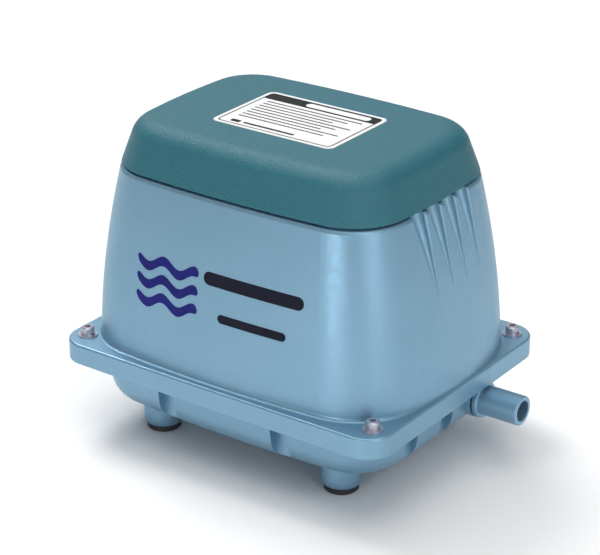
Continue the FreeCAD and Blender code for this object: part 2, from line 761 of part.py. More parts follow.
def mount_screws():
    top = BASE[2] + BASE[3]
    return at_mounts(pan_screw(MOUNT[2], BASE[3] + MOUNT_SCREW[0], *MOUNT_SCREW[1:], top))


def pump_frame():
    """Cast cradle: base plate, two end walls and four pedestals under the cores."""
    half_x, half_y, low, thick = BASE
    top = low + thick
    cradle = block(V(-half_x, -half_y, low), V(half_x, half_y, top))
    start, end = END_WALL
    solids = [cradle]
    for side in (1, -1):
        left, right = sorted((side * start, side * end))
        wall_top = PUMP_Z + END_WALL_HALF
        solids.append(block(V(left, -END_WALL_HALF, low), V(right, END_WALL_HALF, wall_top)))
    solids += four_ways(block(V(CORE_HALF_X - PEDESTAL, CORE_BACK - PEDESTAL, low),
                              V(CORE_HALF_X, CORE_BACK, PUMP_Z - CORE_HALF_Z)))
    cradle = union(solids)
    cuts = [cylinder(ROD_PASS, V(-half_x, 0, PUMP_Z), V(half_x, 0, PUMP_Z))]
    cuts += [cylinder(MOUNT[2] + RUN, V(x, y, low), V(x, y, top)) for x, y in mount_places()]
    return minus(cradle, cuts)


# ------------------------------------------------------------------ electromagnets
def both_sides(shape):
    return group([shape, shape.mirror(ORIGIN, Y)])


def stator_cores():
    """Two E-shaped laminated cores facing each other across the armature."""
    low, high = PUMP_Z - CORE_HALF_Z, PUMP_Z + CORE_HALF_Z
    core = block(V(-CORE_HALF_X, CORE_FACE, low), V(CORE_HALF_X, CORE_BACK, high))
    for side in (1, -1):
        ends = sorted((side * TOOTH, side * OUTER_TOOTH))
        core = core.cut(block(V(ends[0], CORE_FACE, low), V(ends[1], CORE_BACK - CORE_YOKE, high)))
    return both_sides(core)


def coil_bobbins():
    tube_x, tube_z, flange_x, flange_z, thick = BOBBIN
    low, high = COIL_Y
    body = block(V(-tube_x, low, PUMP_Z - tube_z), V(tube_x, high, PUMP_Z + tube_z))
    flanges = [block(V(-flange_x, y, PUMP_Z - flange_z), V(flange_x, y + thick, PUMP_Z + flange_z))
               for y in (low, high - thick)]
    half_x, half_z = TOOTH + RUN, CORE_HALF_Z + RUN
    window = block(V(-half_x, low, PUMP_Z - half_z), V(half_x, high, PUMP_Z + half_z))
    return both_sides(union([body] + flanges).cut(window))


def coil_windings():
    tube_x, tube_z, _, _, thick = BOBBIN
    half_x, half_z = COIL
    low, high = COIL_Y[0] + thick, COIL_Y[1] - thick
    coil = block(V(-half_x, low, PUMP_Z - half_z), V(half_x, high, PUMP_Z + half_z))
    coil = coil.makeFillet(COIL_CORNER, [e for e in coil.Edges if e.BoundBox.YLength > RUN])
    return both_sides(coil.cut(block(V(-tube_x, low, PUMP_Z - tube_z), V(tube_x, high, PUMP_Z + tube_z))))


# ------------------------------------------------------------------ armature
def on_axis(x):
    return V(x, 0, PUMP_Z)


def armature_rod():
    return cylinder(ROD_RADIUS, on_axis(-ROD_END), on_axis(ROD_END))


def magnet_windows():
    start, end, half_z = MAGNET
    near = ROD_RADIUS + MAGNET_WEB
    windows = []
    for side in (1, -1):
        low_x, high_x = sorted((side * start, side * end))
        for low_z, high_z in ((near, half_z), (-half_z, -near)):
            low = V(low_x, -HOLDER[1], PUMP_Z + low_z)
            windows.append(block(low, V(high_x, HOLDER[1], PUMP_Z + high_z)))
    return windows


def magnet_holder():
    half_x, half_y, half_z = HOLDER
    body = block(V(-half_x, -half_y, PUMP_Z - half_z), V(half_x, half_y, PUMP_Z + half_z))
    notch_x, deep = HOLDER_NOTCH
    notch = block(V(-notch_x, -half_y, PUMP_Z + half_z - deep), V(notch_x, half_y, PUMP_Z + half_z))
    return minus(body, magnet_windows() + [armature_rod(), notch])


def magnets():
    return group(magnet_windows())


def end_sides(shape):
    """The same piece at both ends of the armature."""
    return group([shape, mirrored_x(shape)])


def diaphragm_plates():
    radius, thick = PLATE
    face, rubber = DIAPHRAGM[:2]
    plates = []
    for start in (face - thick, face + rubber):
        plates.append(ring(radius, ROD_RADIUS, on_axis(start), on_axis(start + thick)))
    return group(plates + [mirrored_x(p) for p in plates])


def rod_nuts():
    flats, thick = ROD_NUT
    face = DIAPHRAGM[0] + DIAPHRAGM[1] + PLATE[1]
    nut = hexagon(flats, on_axis(face), on_axis(face + thick))
    inner = hexagon(flats, on_axis(DIAPHRAGM[0] - PLATE[1] - thick), on_axis(DIAPHRAGM[0] - PLATE[1]))
    rod = armature_rod()
    return group([n.cut(rod) for n in (nut, inner, mirrored_x(nut), mirrored_x(inner))])


def diaphragm(side):
    """Rubber disc with one round convolution between its clamped rim and the plates."""
    face, thick, fold_in = DIAPHRAGM
    rim, fold_out = RING
    middle, reach = (fold_in + fold_out) / 2, (fold_out - fold_in) / 2
    points = [(ROD_RADIUS, thick), (ROD_RADIUS, 0), (fold_in, 0)]
    points += [(middle - reach * math.cos(a), -reach * math.sin(a)) for a in steps(0, math.pi, 8)[1:-1]]
    points += [(fold_out, 0), (rim, 0), (rim, thick), (fold_out + thick, thick)]
    inner = reach - thick / 2
    points += [(middle + inner * math.cos(a), thick - inner * math.sin(a)) for a in steps(0, math.pi, 8)]
    disc = turned(points)
    disc.Placement = FreeCAD.Placement(on_axis(face), FreeCAD.Rotation(Z, X))
    return disc if side > 0 else mirrored_x(disc)


# ------------------------------------------------------------------ pump ends
def end_plate(start, end, half):
    """Square plate across the pump's axis with round corners."""
    plate = block(V(start, -half, PUMP_Z - half), V(end, half, PUMP_Z + half))
    return plate.makeFillet(CHAMBER_CORNER, [e for e in plate.Edges if e.BoundBox.XLength > RUN])


def head_screw_axes():
    return [(sy * HEAD_SCREW_AT, PUMP_Z + sz * HEAD_SCREW_AT) for sy in (1, -1) for sz in (1, -1)]


def head_screw_cuts(start, end):
    radius = HEAD_SCREW[0] + RUN
    return [cylinder(radius, V(start, y, z), V(end, y, z)) for y, z in head_screw_axes()]


def clamp_ring(side):
    """Ring that holds the diaphragm's rim, screwed to the frame's end wall."""
    start, end = RING_X
    body = end_plate(start, end, CHAMBER_HALF)
    body = body.cut(cylinder(RING[1] + SEAT, on_axis(start), on_axis(end)))
    body = minus(body, head_screw_cuts(CHAMBER_X[1] - HEAD_SCREW[1], end))
    return body if side > 0 else mirrored_x(body)


def valve_rooms(start, end):
    """The suction and the delivery room, side by side across the pump."""
    rooms = []
    for room in (1, -1):
        near, far = sorted((room * ROOM_RIB, room * ROOM_HALF))
        low = V(start, near, PUMP_Z - VALVE_ROOM)
        rooms.append(block(low, V(end, far, PUMP_Z + VALVE_ROOM)))
    return rooms


def valve_chamber(side):
    """Block with the pumping space, a valve wall and the suction and delivery rooms."""
    start, end = CHAMBER_X
    low, high = PARTITION
    body = end_plate(RING_X[1], end, CHAMBER_HALF)
    body = body.cut(cylinder(RING[0], on_axis(RING_X[1]), on_axis(start)))
    body = body.cut(cylinder(CHAMBER_BORE, on_axis(start), on_axis(low)))
    for room in (1, -1):
        hole = V(low, room * VALVE_Y, PUMP_Z)
        body = body.cut(cylinder(VALVE_HOLE, hole, hole + V(high - low, 0, 0)))
    body = minus(body, valve_rooms(high, end))
    out = V(SPIGOT_X, SPIGOT_Y, PUMP_Z - CHAMBER_HALF)
    foot, room_floor = out - V(0, 0, SPIGOT_LENGTH), out + V(0, 0, CHAMBER_HALF - VALVE_ROOM + RUN)
    body = union([body, cylinder(SPIGOT[0], foot, out + V(0, 0, WALL))])
    body = body.cut(cylinder(SPIGOT[1], foot, room_floor))
    inlet = V(SPIGOT_X, -SPIGOT_Y, PUMP_Z)
    body = body.cut(cylinder(SPIGOT[1], inlet, inlet + V(0, 0, CHAMBER_HALF)))
    body = minus(body, head_screw_cuts(RING_X[1], end))
    return body if side > 0 else mirrored_x(body)


def head_gasket(side):
    start = CHAMBER_X[1]
    end = start + HEAD_GASKET
    body = end_plate(start, end, CHAMBER_HALF)
    body = minus(body, valve_rooms(start, end) + head_screw_cuts(start, end))
    return body if side > 0 else mirrored_x(body)


def head_cover(side):
    start = CHAMBER_X[1] + HEAD_GASKET
    end = start + HEAD_COVER
    body = end_plate(start, end, CHAMBER_HALF)
    body = minus(body, head_screw_cuts(start, end))
    return body if side > 0 else mirrored_x(body)


def head_screws():
    radius, length, head_radius, head_height = HEAD_SCREW
    face = CHAMBER_X[1] + HEAD_GASKET + HEAD_COVER
    screw = pan_screw(radius, length + HEAD_GASKET + HEAD_COVER, head_radius, head_height, 0)
    screw.Placement = FreeCAD.Placement(ORIGIN, FreeCAD.Rotation(Z, X))
    return end_sides(group([moved(screw, V(face, y, z)) for y, z in head_screw_axes()]))


def valve_flap(side, room):
    """Rubber flap over a valve hole, hinged along its top edge: -1 suction, 1 delivery."""
    half, reach, thick = FLAP
    start = PARTITION[1] if room > 0 else PARTITION[0] - thick
    middle = V(start, room * VALVE_Y, PUMP_Z)
    disc = cylinder(half, middle, middle + V(thick, 0, 0))
    tab = block(middle + V(0, -half, 0), middle + V(thick, half, reach))
    flap = union([disc, tab])
    return flap if side > 0 else mirrored_x(flap)


def flap_strips():
    """Small strips that hold the flaps' upper edges against the valve wall."""
    half, reach, thick = FLAP
    strips = []
    for room in (1, -1):
        start = PARTITION[1] if room > 0 else PARTITION[0] - STRIP[0]
        low = V(start, room * VALVE_Y - half, PUMP_Z + reach + SEAT)
        strips.append(block(low, low + V(STRIP[0], 2 * half, STRIP[1])))
    return end_sides(group(strips))


# ------------------------------------------------------------------ air tubes
def air_tube(side):
    x, y = side * SPIGOT_X, SPIGOT_Y
    low, high = TANK_COVER_TOP, PUMP_Z - CHAMBER_HALF
    return ring(TUBE_RADIUS, SPIGOT[0], V(x, y, low), V(x, y, high))


def tube_clamps():
    radius, width = CLAMP
    clamps = []
    for x, y in tube_places():
        for low in (TANK_COVER_TOP + SEAT, PUMP_Z - CHAMBER_HALF - width - SEAT):
            foot, head = V(x, y, low), V(x, y, low + width)
            half_ear, reach = CLAMP_EAR
            ear = block(foot + V(-half_ear, TUBE_RADIUS, 0), head + V(half_ear, radius + reach, 0))
            clamp = union([cylinder(radius, foot, head), ear])
            clamps.append(clamp.cut(cylinder(TUBE_RADIUS, foot, head)))
    return group(clamps)


# ------------------------------------------------------------------ stop switch and terminals
def stop_lever():
    """Lever that hangs into the holder's notch and trips when the armature overshoots."""
    half_x, half_y, tip, pivot = LEVER
    arm = block(V(-half_x, -half_y, tip), V(half_x, half_y, LEVER_PIVOT_Z))
    eye = cylinder(pivot, V(0, -half_y, LEVER_PIVOT_Z), V(0, half_y, LEVER_PIVOT_Z))
    hole = cylinder(LEVER_PIN + RUN, V(0, -half_y, LEVER_PIVOT_Z), V(0, half_y, LEVER_PIVOT_Z))
    return union([arm, eye]).cut(hole)


def lever_pin():
    reach = SWITCH[1]
    return cylinder(LEVER_PIN, V(0, -reach, LEVER_PIVOT_Z), V(0, reach, LEVER_PIVOT_Z))


def stop_switch():
    """Switch box on a bridge across the cores, with two ears that carry the lever's pin."""
    half_x, half_y, height = SWITCH
    ear_at, ear_drop = SWITCH_EARS
    low = LEVER_PIVOT_Z + ear_drop
    box = block(V(-half_x, -half_y, low), V(half_x, half_y, low + height))
    solids = [box]
    for side in (1, -1):
        ends = sorted((side * ear_at, side * half_y))
        solids.append(block(V(-ear_at, ends[0], LEVER_PIVOT_Z - ear_at), V(ear_at, ends[1], low)))
        ends = sorted((side * half_y, side * CORE_BACK))
        solids.append(block(V(-ear_at, ends[0], low), V(ear_at, ends[1], low + BRIDGE)))
        ends = sorted((side * (CORE_BACK - BRIDGE), side * CORE_BACK))
        solids.append(block(V(-ear_at, ends[0], PUMP_Z + CORE_HALF_Z), V(ear_at, ends[1], low)))
    return union(solids).cut(lever_pin())


def terminal_block():
    half_x, start, end, height = TERMINAL
    body = block(V(-half_x, start, TANK_COVER_TOP), V(half_x, end, TANK_COVER_TOP + height))
    middle = (start + end) / 2
    wells = []
    for i in range(TERMINAL_WELLS[0]):
        x = (i - (TERMINAL_WELLS[0] - 1) / 2) * TERMINAL_WELLS[1]
        wells.append(cylinder(TERMINAL_WELLS[2], V(x, middle, TANK_COVER_TOP + height / 2),
                              V(x, middle, TANK_COVER_TOP + height)))
    return minus(body, wells)


def terminal_screws():
    _, start, end, height = TERMINAL
    count, pitch, well = TERMINAL_WELLS
    screws = []
    for i in range(count):
        foot = V((i - (count - 1) / 2) * pitch, (start + end) / 2, TANK_COVER_TOP + height / 2)
        top = foot + V(0, 0, TERMINAL_SCREW_HEIGHT)
        slot = block(top - V(well, SEAT, TERMINAL_SLOT_DEPTH), top + V(well, SEAT, 0))
        screws.append(cylinder(well - SEAT, foot, top).cut(slot))
    return group(screws)


SIDES = {"right": 1, "left": -1}


NODES = {
    "filter_cover": filter_cover, "top_label": top_label, "filter_element": filter_element,
    "upper_housing": upper_housing, "housing_gasket": housing_gasket, "lower_housing": lower_housing,
    "rubber_feet": rubber_feet, "flat_washers": flat_washers, "spring_washers": spring_washers,
    "flange_bolts": flange_bolts, "outlet_pipe": outlet_pipe, "outlet_seal": outlet_seal,
    "cable_gland": cable_gland, "tank_cover": tank_cover, "tank_gasket": tank_gasket,
    "tank_screws": tank_screws, "vibration_mounts": vibration_mounts, "mount_screws": mount_screws,
    "pump_frame": pump_frame, "stator_cores": stator_cores, "coil_bobbins": coil_bobbins,
    "coil_windings": coil_windings, "armature_rod": armature_rod, "magnet_holder": magnet_holder,
    "magnets": magnets, "diaphragm_plates": diaphragm_plates, "rod_nuts": rod_nuts,
    "head_screws": head_screws, "flap_strips": flap_strips, "tube_clamps": tube_clamps,
    "stop_lever": stop_lever, "lever_pin": lever_pin, "stop_switch": stop_switch,
    "terminal_block": terminal_block, "terminal_screws": terminal_screws,
}
SIDED_NODES = {
    "diaphragm": diaphragm, "clamp_ring": clamp_ring, "valve_chamber": valve_chamber,
    "head_gasket": head_gasket, "head_cover": head_cover, "air_tube": air_tube,
}
ROOMS = {"suction": -1, "delivery": 1}


def pieces():
    """Every node's name with its shape."""
    for name, make in NODES.items():
        yield name, make()
    for side_name, side in SIDES.items():
        for name, make in SIDED_NODES.items():
            yield f"{side_name}_{name}", make(side)
        for room_name, room in ROOMS.items():
            yield f"{side_name}_{room_name}_flap", valve_flap(side, room)


def main():
    os.makedirs("parts", exist_ok=True)
    for name, shape in pieces():
        shape = moved(shape, ORIGIN_SHIFT)
        print(name, shape.isValid(), len(shape.Solids), round(shape.Volume))
        shape.exportStep(f"parts/{name}.step")


main()
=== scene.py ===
"""Looks of the linear diaphragm air pump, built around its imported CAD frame. Metres, +Z up."""

import json
import math

import bpy
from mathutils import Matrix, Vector
from mathutils.bvhtree import BVHTree


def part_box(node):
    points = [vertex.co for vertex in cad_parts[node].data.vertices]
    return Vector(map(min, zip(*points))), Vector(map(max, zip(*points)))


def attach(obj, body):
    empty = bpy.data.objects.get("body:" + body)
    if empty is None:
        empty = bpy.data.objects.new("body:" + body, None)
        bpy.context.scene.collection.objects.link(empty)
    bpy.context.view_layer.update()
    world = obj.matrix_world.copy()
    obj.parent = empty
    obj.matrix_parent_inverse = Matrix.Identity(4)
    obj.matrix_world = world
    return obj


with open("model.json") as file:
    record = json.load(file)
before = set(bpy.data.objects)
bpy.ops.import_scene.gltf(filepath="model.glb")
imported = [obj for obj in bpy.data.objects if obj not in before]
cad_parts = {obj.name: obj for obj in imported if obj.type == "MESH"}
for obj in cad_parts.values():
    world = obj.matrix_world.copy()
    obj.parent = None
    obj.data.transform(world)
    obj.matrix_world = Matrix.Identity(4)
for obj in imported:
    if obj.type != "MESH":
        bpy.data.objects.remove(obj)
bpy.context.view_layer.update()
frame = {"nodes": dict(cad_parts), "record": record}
NODES = frame["nodes"]

# ------------------------------------------------------------------ places, from the frame
HOUSING_LOW, HOUSING_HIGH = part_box("upper_housing")
LABEL_LOW, LABEL_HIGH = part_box("top_label")
CENTRE = (HOUSING_LOW + HOUSING_HIGH) / 2          # the housing's own middle

# ------------------------------------------------------------------ view
VIEW_AZIMUTH = math.radians(35.71)
VIEW_ELEVATION = math.radians(24.23)
VIEW_DISTANCE = 1.3867
VIEW_HEIGHT = 0.10415                              # height of the point looked at
SENSOR = 36.0
LENS = 130.88
CLIP = (0.05, 50.0)                                # nearest and farthest seen

# ------------------------------------------------------------------ studio
WORLD_WHITE = (1.0, 1.0, 1.0, 1.0)
WORLD_STRENGTH = 0.2
# Azimuth, elevation, distance, size and power. Places and sizes were chosen. The powers were
# solved for by least squares and rounded, except those of top_box, left_box and back_box.
SOFT_BOXES = {
    "top_box": (-20, 85, 3.6, (3.9, 3.4), 72.0),
    "left_box": (-108, 55, 3.9, (1.7, 1.3), 82.0),
    "back_high_box": (180, 58, 3.9, (3.6, 2.1), 12.0),
    "back_box": (215, 28, 1.5, (1.6, 0.9), 1.6),
    "right_box": (100, 22, 1.5, (0.9, 0.8), 1.3),
    "side_high_box": (62, 44, 1.5, (0.5, 0.6), 2.5),
    "side_box": (62, 22, 1.5, (0.4, 0.8), 2.1),
    "side_strip": (66, 5, 1.5, (0.3, 0.3), 1.5),
    "front_strip": (6, 2, 1.3, (0.12, 0.16), 2.8),
}
FLOOR_REACH = 6.0
FLOOR_COLOUR = (0.92, 0.92, 0.92, 1)
FLOOR_ROUGHNESS = 0.9

# ------------------------------------------------------------------ printed marks
INK = 0.00012                                      # thickness of the ink on the paint
STRIP_TIP = 0.02                                   # least half height at a strip's tips, as a share
CORNER_STEPS = 6
RAY_START = 0.1                                    # how far in front of the wall the rays start

# Front wall: x from the housing's middle, heights from the floor
WAVE_COUNT = 3
WAVE_START, WAVE_END = -0.064, -0.015
WAVE_HEIGHT = 0.1075                               # of the lowest band
WAVE_PITCH = 0.0118
WAVE_SWING = 0.0028
WAVE_TURN = 256                                    # radians per metre
WAVE_HALF = 0.0031                                 # half the band's own height
WAVE_COLUMNS = 48
FRONT_BARS = (                                     # start, end, height, half height and columns
    (-0.011, 0.062, 0.1325, 0.0042, 40),
    (0.001, 0.051, 0.1092, 0.0028, 32),
)

# Label: from its middle, with half sizes and corner radii
BORDER_HALF_X, BORDER_HALF_Y = 0.0425, 0.0295
BORDER_CORNER = 0.0035
BORDER_WIDTH = 0.0009
HEADER_Y = 0.0242
HEADER = (0.0422, 0.0050, 0.0018)
PILL_X = 0.012
PILL = (0.024, 0.0030, 0.0028)
LINE_COUNT = 8
LINE_Y = 0.0150                                    # of the topmost line
LINE_PITCH = 0.0043
LINE_LENGTHS = 3                                   # lengths that the lines take in turn
LINE_REACH = 0.036                                 # half the longest line, and its start left of middle
LINE_STEP = 0.004                                  # how much shorter each next length's half is
LINE_HALF, LINE_CORNER = 0.00062, 0.0003
FOOTER_Y = -0.0245
FOOTER_BLOCK_X = -0.031
FOOTER_BLOCK = (0.0035, 0.0019, 0.0012)
FOOTER_BAR_X = -0.006
FOOTER_BAR = (0.019, 0.0011, 0.0006)


# ------------------------------------------------------------------ camera and studio
def direction(azimuth, elevation):
    """Unit vector from the object; azimuth 0 is in front of it, and angles are in radians."""
    flat = math.cos(elevation)
    return Vector((flat * math.sin(azimuth), -flat * math.cos(azimuth), math.sin(elevation)))


def add_camera():
    data = bpy.data.cameras.new("view")
    data.sensor_width = SENSOR
    data.lens = LENS
    data.clip_start, data.clip_end = CLIP
    camera = bpy.data.objects.new("view", data)
    bpy.context.scene.collection.objects.link(camera)
    back = direction(VIEW_AZIMUTH, VIEW_ELEVATION)
    camera.location = Vector((CENTRE.x, CENTRE.y, VIEW_HEIGHT)) + back * VIEW_DISTANCE
    camera.rotation_euler = back.to_track_quat("Z", "Y").to_euler()
    bpy.context.scene.camera = camera


def area_light(name, azimuth, elevation, distance, size, power):
    """Soft box that looks at the housing's middle; angles in degrees."""
    data = bpy.data.lights.new(name, "AREA")
    data.shape = "RECTANGLE"
    data.size, data.size_y = size
    data.energy = power
    lamp = bpy.data.objects.new(name, data)
    lamp.visible_camera = False
    bpy.context.scene.collection.objects.link(lamp)
    away = direction(math.radians(azimuth), math.radians(elevation))
    lamp.location = CENTRE + away * distance
    lamp.rotation_euler = away.to_track_quat("Z", "Y").to_euler()


def add_world():
    world = bpy.data.worlds.new("studio")
    world.use_nodes = True
    backdrop = world.node_tree.nodes["Background"]
    backdrop.inputs["Color"].default_value = WORLD_WHITE
    backdrop.inputs["Strength"].default_value = WORLD_STRENGTH
    bpy.context.scene.world = world
    bpy.context.scene.view_settings.view_transform = "Standard"


def add_floor():
    mesh = bpy.data.meshes.new("floor")
    reach = FLOOR_REACH
    corners = [(-reach, -reach, 0), (reach, -reach, 0), (reach, reach, 0), (-reach, reach, 0)]
    mesh.from_pydata(corners, [], [(0, 1, 2, 3)])
    floor = bpy.data.objects.new("floor", mesh)
    bpy.context.scene.collection.objects.link(floor)
    material, _, shader = new_material("floor_white")
    shader.inputs["Base Color"].default_value = FLOOR_COLOUR
    shader.inputs["Roughness"].default_value = FLOOR_ROUGHNESS
    floor.data.materials.append(material)


# ------------------------------------------------------------------ material tools
MIX_FIRST, MIX_SECOND, MIX_RESULT = 6, 7, 2        # the mix node's colour sockets


def new_material(name):
    material = bpy.data.materials.new(name)
    material.use_nodes = True
    tree = material.node_tree
    return material, tree, tree.nodes["Principled BSDF"]


def object_point(tree):
    return tree.nodes.new("ShaderNodeTexCoord").outputs["Object"]


def noise(tree, scale, detail=2.0, roughness=0.5):
    node = tree.nodes.new("ShaderNodeTexNoise")
    node.inputs["Scale"].default_value = scale
    node.inputs["Detail"].default_value = detail
    node.inputs["Roughness"].default_value = roughness
    tree.links.new(object_point(tree), node.inputs["Vector"])
    return node.outputs["Fac"]


def cells(tree, scale):
    """Distance to the middle of the nearest cell."""
    node = tree.nodes.new("ShaderNodeTexVoronoi")
    node.inputs["Scale"].default_value = scale
    tree.links.new(object_point(tree), node.inputs["Vector"])
    return node.outputs["Distance"]


def ramp(tree, value, low, high, start, end):
    """Maps value from low..high to start..end."""
    node = tree.nodes.new("ShaderNodeMapRange")
    node.inputs["From Min"].default_value = low
    node.inputs["From Max"].default_value = high
    node.inputs["To Min"].default_value = start
    node.inputs["To Max"].default_value = end
    tree.links.new(value, node.inputs["Value"])
    return node.outputs["Result"]


def two_tone(tree, shader, factor, first, second):
    """Base colour that goes from first to second with the factor."""
    node = tree.nodes.new("ShaderNodeMix")
    node.data_type = "RGBA"
    node.inputs[MIX_FIRST].default_value = (*first, 1)
    node.inputs[MIX_SECOND].default_value = (*second, 1)
    tree.links.new(factor, node.inputs["Factor"])
    tree.links.new(node.outputs[MIX_RESULT], shader.inputs["Base Color"])


def vary_roughness(tree, shader, pattern, smooth, rough):
    """Roughness that wanders from smooth to rough with a noise pattern."""
    tree.links.new(ramp(tree, pattern, 0.3, 0.7, smooth, rough), shader.inputs["Roughness"])


def bump(tree, shader, height, distance, strength=1.0, below=None):
    node = tree.nodes.new("ShaderNodeBump")
    node.inputs["Distance"].default_value = distance
    node.inputs["Strength"].default_value = strength
    tree.links.new(height, node.inputs["Height"])
    if below is not None:
        tree.links.new(below, node.inputs["Normal"])
    tree.links.new(node.outputs["Normal"], shader.inputs["Normal"])
    return node.outputs["Normal"]


# ------------------------------------------------------------------ materials
def housing_paint():
    """Satin light-blue enamel on a casting: orange peel, faint mottling and fine sparkle."""
    material, tree, shader = new_material("housing_paint")
    mottle = ramp(tree, noise(tree, 22.0, 3.0), 0.35, 0.65, 0.0, 1.0)
    two_tone(tree, shader, mottle, (0.204, 0.375, 0.507), (0.215, 0.386, 0.521))
    vary_roughness(tree, shader, noise(tree, 180.0, 3.0), 0.41, 0.51)
    shader.inputs["Metallic"].default_value = 0.7
    shader.inputs["Coat Weight"].default_value = 0.1
    shader.inputs["Coat Roughness"].default_value = 0.3
    peel = bump(tree, shader, noise(tree, 420.0, 2.0), 0.00006, 0.5)
    bump(tree, shader, noise(tree, 2600.0, 1.0), 0.00002, 0.4, peel)
    return material


def cover_plastic():
    """Teal moulded plastic with a fine leather-like spark-eroded grain."""
    material, tree, shader = new_material("cover_plastic")
    grain = cells(tree, 1100.0)
    fine = noise(tree, 1900.0, 3.0, 0.6)
    speckle = ramp(tree, fine, 0.35, 0.65, 0, 1)
    two_tone(tree, shader, speckle, (0.006, 0.106, 0.145), (0.011, 0.148, 0.193))
    vary_roughness(tree, shader, fine, 0.38, 0.54)
    shader.inputs["Specular IOR Level"].default_value = 0.56
    coarse = bump(tree, shader, grain, 0.0003, 0.9)
    bump(tree, shader, fine, 0.00026, 0.9, coarse)
    return material


def plain_finish(name, light, dark, scale, rough, metallic=0.0, grain=0.00004, gloss=0.5):
    """Two-tone surface with roughness variation and a fine bump, for the smaller pieces."""
    material, tree, shader = new_material(name)
    patches = ramp(tree, noise(tree, scale, 4.0), 0.35, 0.65, 0, 1)
    two_tone(tree, shader, patches, light, dark)
    vary_roughness(tree, shader, noise(tree, scale * 3, 3.0), rough - 0.07, rough + 0.07)
    shader.inputs["Metallic"].default_value = metallic
    shader.inputs["Specular IOR Level"].default_value = gloss
    bump(tree, shader, noise(tree, 900.0, 2.0), grain, 0.7)
    return material


def ink(name, light, dark):
    return plain_finish(name, light, dark, 60, 0.5, grain=0.00001, gloss=0.12)


def foam():
    """Open-cell filter foam: round pores of about a millimetre, with painted shade inside them."""
    material, tree, shader = new_material("filter_foam")
    # Painted shade: the colour darkens towards each pore's middle, and the same ramp drives the bump.
    pore_shade_and_depth = ramp(tree, cells(tree, 800.0), 0.1, 0.7, 0.0, 1.0)
    two_tone(tree, shader, pore_shade_and_depth, (0.006, 0.006, 0.007), (0.045, 0.045, 0.05))
    vary_roughness(tree, shader, noise(tree, 300.0), 0.88, 1.0)
    shader.inputs["Specular IOR Level"].default_value = 0.2
    bump(tree, shader, pore_shade_and_depth, 0.0008)
    return material


def layered(name, light, dark, axis, pitch, rough):
    """Metal in layers along an axis: core plates or turns of wire."""
    material, tree, shader = new_material(name)
    bands = tree.nodes.new("ShaderNodeTexWave")
    bands.bands_direction = axis
    bands.inputs["Scale"].default_value = math.pi / (10 * pitch)
    bands.inputs["Distortion"].default_value = 0.3
    bands.inputs["Detail Scale"].default_value = 40.0
    tree.links.new(object_point(tree), bands.inputs["Vector"])
    two_tone(tree, shader, bands.outputs["Fac"], dark, light)
    vary_roughness(tree, shader, noise(tree, 300.0), rough - 0.06, rough + 0.06)
    shader.inputs["Metallic"].default_value = 0.9
    bump(tree, shader, bands.outputs["Fac"], pitch / 4)
    return material


def make_materials():
    return {
        "ink_blue": ink("ink_blue", (0.011, 0.014, 0.17), (0.01, 0.011, 0.145)),
        "ink_navy": ink("ink_navy", (0.005, 0.007, 0.018), (0.008, 0.01, 0.022)),
        "ink_black": ink("ink_black", (0.014, 0.016, 0.016), (0.02, 0.022, 0.022)),
        "housing_paint": housing_paint(),
        "cover_plastic": cover_plastic(),
        "label_film": plain_finish(
            "label_film", (0.86, 0.87, 0.87), (0.8, 0.81, 0.82), 40, 0.35, grain=0.00001),
        "filter_foam": foam(),
        "black_rubber": plain_finish(
            "black_rubber", (0.02, 0.022, 0.03), (0.012, 0.013, 0.018), 90, 0.6),
        "bolt_steel": plain_finish(
            "bolt_steel", (0.6, 0.58, 0.66), (0.5, 0.48, 0.56), 500, 0.36, 0.85),
        "cast_aluminium": plain_finish(
            "cast_aluminium", (0.6, 0.61, 0.62), (0.5, 0.51, 0.52), 200, 0.45, 0.9, 0.0001),
        "core_steel": layered(
            "core_steel", (0.22, 0.22, 0.23), (0.1, 0.1, 0.11), "Z", 0.0005, 0.45),
        "copper_wire": layered(
            "copper_wire", (0.66, 0.26, 0.1), (0.35, 0.12, 0.04), "Y", 0.0008, 0.3),
        "bobbin_plastic": plain_finish(
            "bobbin_plastic", (0.66, 0.62, 0.5), (0.6, 0.56, 0.45), 80, 0.5),
        "black_plastic": plain_finish(
            "black_plastic", (0.025, 0.025, 0.028), (0.018, 0.018, 0.02), 120, 0.45),
        "magnet_ferrite": plain_finish(
            "magnet_ferrite", (0.07, 0.07, 0.075), (0.05, 0.05, 0.055), 200, 0.6),
        "rod_steel": plain_finish(
            "rod_steel", (0.6, 0.6, 0.62), (0.52, 0.52, 0.54), 400, 0.22, 1.0),
        "terminal_brass": plain_finish(
            "terminal_brass", (0.7, 0.52, 0.2), (0.6, 0.43, 0.15), 300, 0.3, 1.0),
    }


def paint_nodes(materials):
    for part in frame["record"]["subparts"]:
        node = NODES[part["node"]]
        node.data.materials.clear()
        node.data.materials.append(materials[part["material_slot"]])


# ------------------------------------------------------------------ printed marks
def new_piece(name, verts, faces, material, body):
    mesh = bpy.data.meshes.new(name)
    mesh.from_pydata(verts, [], faces)
    mesh.materials.append(material)
    piece = bpy.data.objects.new(name, mesh)
    bpy.context.scene.collection.objects.link(piece)
    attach(piece, body)


def strip_columns(start, end, centre, half, columns):
    """Columns of a strip with half-round ends, as (x, low z, high z)."""
    points = []
    for i in range(columns + 1):
        turn = math.pi * i / columns
        x = (start + end) / 2 - (end - start) / 2 * math.cos(turn)
        nearest = min(x - start, end - x)
        cut = max(0.0, half - nearest)
        reach = math.sqrt(max(half * half - cut * cut, (half * STRIP_TIP) ** 2))
        points.append((x, centre(x) - reach, centre(x) + reach))
    return points


